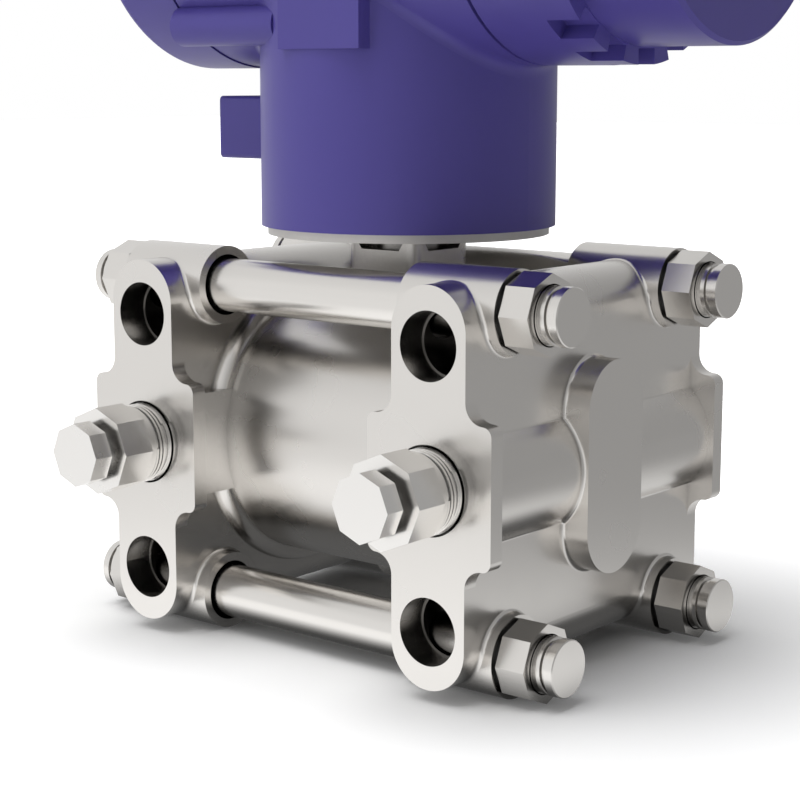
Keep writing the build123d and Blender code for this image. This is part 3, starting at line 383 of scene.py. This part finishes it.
# %% Rubber, plastic, board and plating
def plain_finish(name, colour, other_colour, roughness, grain_mm, bump_mm, metallic=0.0):
    """A finish with two close colours that drift into each other, and a fine bump."""
    material, output, place = new_material(name)
    grain = add_node(material, "ShaderNodeTexNoise", {
        "Vector": place, "Scale": 1 / (grain_mm * MM), "Detail": 3.0})
    shade = add_node(material, "ShaderNodeMix", {"Factor": grain.outputs["Fac"]}, data_type="RGBA")
    shade.inputs[6].default_value = linear(colour)
    shade.inputs[7].default_value = linear(other_colour)
    bump = add_node(material, "ShaderNodeBump", {
        "Height": grain.outputs["Fac"], "Strength": 1.0, "Distance": bump_mm * MM})
    surface = add_node(material, "ShaderNodeBsdfPrincipled", {
        "Base Color": shade.outputs[2], "Roughness": roughness, "Metallic": metallic,
        "Normal": bump.outputs["Normal"]})
    material.node_tree.links.new(surface.outputs["BSDF"], output.inputs["Surface"])
    return material


# Moulded rubber is matt and nearly black.
nitrile_rubber = plain_finish("nitrile_rubber", "141414", "1C1C1C", 0.6, 0.8, 0.004)
# The washers are real, but their near black, half matt skin is painted shade for the dark gap between nut and
# boss.
painted_shade_washer_finish = plain_finish("painted_shade_washer", "1A1A1A", "242424", 0.45, 0.5, 0.002)
# Nylon takes the fine texture of its mould, with a dull sheen.
moulded_nylon = plain_finish("moulded_black_nylon", "17171A", "1F1F22", 0.42, 0.6, 0.004)
# A circuit board shows green resist over the glass weave.
glass_fibre_board = plain_finish("green_glass_fibre_board", "135233", "1A5E3C", 0.35, 1.2, 0.002)
# A shrunk sleeve is thin, tight and rather glossy.
battery_sleeve = plain_finish("shrunk_battery_sleeve", "23466E", "284E78", 0.3, 6.0, 0.002)
# Pressed PTFE is off-white and waxy.
ptfe_seal = plain_finish("white_ptfe_seal", "D8D8D4", "E0E0DC", 0.45, 1.0, 0.002)
# Nickel plating is bright, and warmer than stainless steel.
plated_brass = plain_finish("nickel_plated_brass", "CFCBC2", "D4D0C8", 0.25, 2.0, 0.001, 1.0)
# The brushed module disc is pale and even, and mirrors little.
module_steel = plain_finish("brushed_module_disc", "C9C6C2", "D2CFCB", 0.36, 1.5, 0.001, 0.35)
print("plain finishes:", len(bpy.data.materials), "materials so far")

# %% [markdown]
# Now each piece gets its finish. One table says which pieces share one, so nothing is dressed twice, and
# the last line tells us at once if a piece was forgotten.

# %% Put the finishes on
finishes = {
    blasted_casting: ["process_flange_left", "process_flange_right"],
    turned_barrel: ["sensor_capsule", "sensing_cell", "isolating_diaphragm_left",
                    "isolating_diaphragm_right", "module_header"],
    drawn_rod: ["stud_bolts", "board_screws", "antenna_pin", "vent_ball_left", "vent_ball_right"],
    milled_nut: ["stud_nuts", "swivel_lock_screw", "cover_lock_screw", "battery_contacts"],
    vent_steel: ["vent_valve_body_left", "vent_valve_body_right", "vent_stem_left", "vent_stem_right"],
    powder_coat: ["electronics_housing", "front_cover", "rear_cover"],
    module_steel: ["sensor_module"],
    nitrile_rubber: ["neck_oring", "front_cover_oring", "rear_cover_oring"],
    # The washers' near black is painted shade.
    painted_shade_washer_finish: ["stud_washers"],
    moulded_nylon: ["battery_cradle", "antenna_fork", "antenna_whip"],
    glass_fibre_board: ["main_board", "radio_board", "sensor_board"],
    battery_sleeve: ["battery_cell"],
    ptfe_seal: ["process_seal_left", "process_seal_right"],
    plated_brass: ["antenna_socket", "board_spacers"],
}
for finish, names in finishes.items():
    for name in names:
        dress(nodes[name], finish)
dress(stud_threads, drawn_rod)
for side in ("left", "right"):
    dress(bpy.data.objects[f"vent_thread_{side}"], vent_steel)
    dress(bpy.data.objects[f"port_thread_{side}"], blasted_casting)
undressed = set(nodes) - {name for names in finishes.values() for name in names}
print("nodes without a finish:", sorted(undressed))

# %% [markdown]
# ## Floor, light and camera
# The object stands on a white floor, one large plane at the height of the lowest point. The reach of a
# point is how far it lies outside the space under the cell, and the next steps fade with it. The floor's
# sizes are in metres, as its coordinates are.

# %% A pale floor
FLOOR_SIZE = 6.0
FOOTPRINT = (0.030, 0.016, 1.0)

deselect()
bpy.ops.mesh.primitive_plane_add(size=FLOOR_SIZE, location=(0, 0, cad_low.z))
floor = bpy.context.object
floor.name = "floor"
paint, floor_output, floor_place = new_material("white_floor")
light_path = add_node(paint, "ShaderNodeLightPath")
from_cell = add_node(paint, "ShaderNodeVectorMath", {
    0: floor_place, 1: (0.0, cell_y, 0.0)}, operation="SUBTRACT")
folded = add_node(paint, "ShaderNodeVectorMath", {
    0: from_cell.outputs["Vector"]}, operation="ABSOLUTE")
beyond = add_node(paint, "ShaderNodeVectorMath", {
    0: folded.outputs["Vector"], 1: FOOTPRINT}, operation="SUBTRACT")
outside = add_node(paint, "ShaderNodeVectorMath", {
    0: beyond.outputs["Vector"], 1: (0.0, 0.0, 0.0)}, operation="MAXIMUM")
reach = add_node(paint, "ShaderNodeVectorMath", {
    0: outside.outputs["Vector"]}, operation="LENGTH")
print("floor at", round(cad_low.z * 1000, 2), "mm")

# %% [markdown]
# To the camera the floor glows more the further it is from the object, so that it reads as white out to
# the edges and keeps a compact soft shadow below the flanges. Only the camera sees this glow, so it adds
# no light to the object.

# %% The floor as the camera sees it
GLOW_REACH = 0.11
GLOW_LEVEL = 0.80

matt = add_node(paint, "ShaderNodeBsdfDiffuse", {"Color": linear("F4F4F4")})
fade = add_node(paint, "ShaderNodeMapRange", {
    "Value": reach.outputs["Value"], "From Min": 0.0, "From Max": GLOW_REACH,
    "To Min": 0.0, "To Max": GLOW_LEVEL})
far_glow = add_node(paint, "ShaderNodeMath", {
    0: fade.outputs["Result"], 1: light_path.outputs["Is Camera Ray"]}, operation="MULTIPLY")
glow = add_node(paint, "ShaderNodeEmission", {
    "Color": linear("FFFFFF"), "Strength": far_glow.outputs["Value"]})
lit_floor = add_node(paint, "ShaderNodeAddShader", {
    0: matt.outputs["BSDF"], 1: glow.outputs["Emission"]})
print("the glow is full", round(GLOW_REACH * 1000), "mm out from under the cell")

# %% [markdown]
# Polished steel shows what is round it, so it gets a floor of its own: to reflected rays the floor is
# a glow of painted strength. In a reflection it is bright in front and on the left, greyer towards the
# right, a little brighter close to the object, and dark right under the cell, a painted shadow where the
# real shadow is deepest.

# %% The floor as the steel sees it
RIGHT_WARD = (0.85, 0.52, 0.0)
SIDE_SPAN = (-0.03, 0.10)
FLOOR_BRIGHT = 0.92
FLOOR_GREY = 0.38
UNDER_FRONT = (-0.065, -0.055)
UNDER_BACK = (0.010, -0.010)
UNDER_SIDE = (0.060, 0.042)
PAINTED_SHADOW_SHARE = 0.10
NEAR_SPAN = (0.02, 0.14)
NEAR_GAIN = 1.25

floor_side = add_node(paint, "ShaderNodeVectorMath", {
    0: floor_place, 1: RIGHT_WARD}, operation="DOT_PRODUCT")
side_shine = add_node(paint, "ShaderNodeMapRange", {
    "Value": floor_side.outputs["Value"], "From Min": SIDE_SPAN[0], "From Max": SIDE_SPAN[1],
    "To Min": FLOOR_BRIGHT, "To Max": FLOOR_GREY}, interpolation_type="SMOOTHSTEP")
spot = add_node(paint, "ShaderNodeSeparateXYZ", {"Vector": floor_place})
across = add_node(paint, "ShaderNodeMath", {0: spot.outputs["X"]}, operation="ABSOLUTE")
under = 1.0
for measure, span in (
    (spot.outputs["Y"], UNDER_FRONT), (spot.outputs["Y"], UNDER_BACK), (across.outputs["Value"], UNDER_SIDE)
):
    mask = add_node(paint, "ShaderNodeMapRange", {
        "Value": measure, "From Min": span[0], "From Max": span[1]}, interpolation_type="SMOOTHSTEP")
    masked = add_node(paint, "ShaderNodeMath", {0: under, 1: mask.outputs["Result"]}, operation="MULTIPLY")
    under = masked.outputs["Value"]
# Painted shadow: right under the cell, the glow that the steel mirrors drops to a tenth.
painted_floor_shadow = add_node(paint, "ShaderNodeMapRange", {
    "Value": under, "To Min": 1.0, "To Max": PAINTED_SHADOW_SHARE})
near_shine = add_node(paint, "ShaderNodeMapRange", {
    "Value": reach.outputs["Value"], "From Min": NEAR_SPAN[0], "From Max": NEAR_SPAN[1],
    "To Min": NEAR_GAIN, "To Max": 1.0}, interpolation_type="SMOOTHSTEP")
open_level = add_node(paint, "ShaderNodeMath", {
    0: side_shine.outputs["Result"], 1: painted_floor_shadow.outputs["Result"]}, operation="MULTIPLY")
mirrored_level = add_node(paint, "ShaderNodeMath", {
    0: open_level.outputs["Value"], 1: near_shine.outputs["Result"]}, operation="MULTIPLY")
mirrored_floor = add_node(paint, "ShaderNodeEmission", {
    "Color": linear("FFFFFF"), "Strength": mirrored_level.outputs["Value"]})
floor_surface = add_node(paint, "ShaderNodeMixShader", {
    "Fac": light_path.outputs["Is Glossy Ray"], 1: lit_floor.outputs["Shader"],
    2: mirrored_floor.outputs["Emission"]})
paint.node_tree.links.new(floor_surface.outputs["Shader"], floor_output.inputs["Surface"])
dress(floor, paint)
print("floor finish:", paint.name, "with", len(paint.node_tree.nodes), "nodes")

# %% [markdown]
# The room is white to the camera. As light it is only a weak fill, so the lamps model the violet paint.
# In the steel it is bright on the left and in front, and greyer to the right, which is what makes the end
# faces darker than the front ones. Light that comes by way of three pieces of steel is dimmed once more.

# %% The room
FILL_LEVEL = 0.145
BRIGHT_SIDE = 0.90
GREY_SIDE = 0.36
TURN_SPAN = (-0.6, 0.9)
CEILING_SPAN = (0.25, 0.75)
CEILING_SHARE = 0.88
BOUNCE_SPAN = (2.0, 3.0)

world = bpy.data.worlds.new("studio_room")
bpy.context.scene.world = world
world.use_nodes = True
world.node_tree.nodes.clear()
world_output = add_node(world, "ShaderNodeOutputWorld")
world_path = add_node(world, "ShaderNodeLightPath")
direction = add_node(world, "ShaderNodeTexCoord").outputs["Generated"]
toward_right = add_node(world, "ShaderNodeVectorMath", {
    0: direction, 1: RIGHT_WARD}, operation="DOT_PRODUCT")
side_level = add_node(world, "ShaderNodeMapRange", {
    "Value": toward_right.outputs["Value"], "From Min": TURN_SPAN[0], "From Max": TURN_SPAN[1],
    "To Min": BRIGHT_SIDE, "To Max": GREY_SIDE}, interpolation_type="SMOOTHSTEP")
upward = add_node(world, "ShaderNodeSeparateXYZ", {"Vector": direction})
ceiling = add_node(world, "ShaderNodeMapRange", {
    "Value": upward.outputs["Z"], "From Min": CEILING_SPAN[0], "From Max": CEILING_SPAN[1],
    "To Min": 1.0, "To Max": CEILING_SHARE}, interpolation_type="SMOOTHSTEP")
later_bounce = add_node(world, "ShaderNodeMapRange", {
    "Value": world_path.outputs["Ray Depth"], "From Min": BOUNCE_SPAN[0], "From Max": BOUNCE_SPAN[1],
    "To Min": 1.0, "To Max": side_level.outputs["Result"]})
room_level = add_node(world, "ShaderNodeMath", {
    0: side_level.outputs["Result"], 1: ceiling.outputs["Result"]}, operation="MULTIPLY")
mirror_level = add_node(world, "ShaderNodeMath", {
    0: room_level.outputs["Value"], 1: later_bounce.outputs["Result"]}, operation="MULTIPLY")
print("the room's level in the steel runs from", GREY_SIDE, "to", BRIGHT_SIDE)

# %% [markdown]
# Three backgrounds share the world: the fill lights, the mirrored room shows in the steel, and the white
# backdrop shows behind the object. What kind of ray asks decides which one it meets.

# %% Three backgrounds in one world
fill = add_node(world, "ShaderNodeBackground", {"Color": linear("FFFFFF"), "Strength": FILL_LEVEL})
mirrored = add_node(world, "ShaderNodeBackground", {
    "Color": linear("FFFFFF"), "Strength": mirror_level.outputs["Value"]})
backdrop = add_node(world, "ShaderNodeBackground", {"Color": linear("FFFFFF"), "Strength": 1.0})
room = add_node(world, "ShaderNodeMixShader", {
    "Fac": world_path.outputs["Is Glossy Ray"], 1: fill.outputs["Background"],
    2: mirrored.outputs["Background"]})
seen_room = add_node(world, "ShaderNodeMixShader", {
    "Fac": world_path.outputs["Is Camera Ray"], 1: room.outputs["Shader"],
    2: backdrop.outputs["Background"]})
world.node_tree.links.new(seen_room.outputs["Shader"], world_output.inputs["Surface"])
print("room:", world.name, "with", len(world.node_tree.nodes), "nodes")

# %% [markdown]
# Two lamps do the rest: a wide soft one overhead, and a softbox on the left of the front. Neither shows in
# the steel, which already mirrors the room.

# %% Soft lamps
OVERHEAD_PLACE = (-0.25, -0.35, 1.6)
OVERHEAD_STRENGTH = 2.1
OVERHEAD_ANGLE_DEG = 50
SOFTBOX_PLACE = (-0.55, -0.80, 0.40)
SOFTBOX_WATTS = 2.8
SOFTBOX_SIZE = 0.8


def lamp(name, kind, place, energy, target):
    """A lamp that shines from a place in metres towards a target, and stays out of reflections."""
    data = bpy.data.lights.new(name, kind)
    data.energy = energy
    made = bpy.data.objects.new(name, data)
    bpy.context.scene.collection.objects.link(made)
    made.location = place
    made.rotation_euler = (target - Vector(place)).to_track_quat("-Z", "Y").to_euler()
    made.visible_glossy = False
    return made


middle = (cad_low + cad_high) / 2
overhead = lamp("overhead_light", "SUN", OVERHEAD_PLACE, OVERHEAD_STRENGTH, middle)
overhead.data.angle = math.radians(OVERHEAD_ANGLE_DEG)
front = lamp("front_softbox", "AREA", SOFTBOX_PLACE, SOFTBOX_WATTS, middle)
front.data.size = SOFTBOX_SIZE

# %% [markdown]
# The camera stands to the right of the front and a little above the cell, with a fairly long lens, so
# that the edges converge only gently.

# %% Camera
LENS = 85
SENSOR = 36
CAMERA_PLACE = (192.12 * MM, -266.58 * MM, 57.51 * MM)
YAW_DEG = 39.50
PITCH_DEG = 9.66

camera_data = bpy.data.cameras.new("camera")
camera_data.lens = LENS
camera_data.sensor_width = SENSOR
camera = bpy.data.objects.new("camera", camera_data)
bpy.context.scene.collection.objects.link(camera)
camera.location = CAMERA_PLACE
camera.rotation_euler = (math.radians(90 - PITCH_DEG), 0, math.radians(YAW_DEG))
bpy.context.scene.camera = camera
bpy.context.scene.view_settings.view_transform = "Standard"
print("camera at", [round(v * 1000, 1) for v in camera.location], "mm")
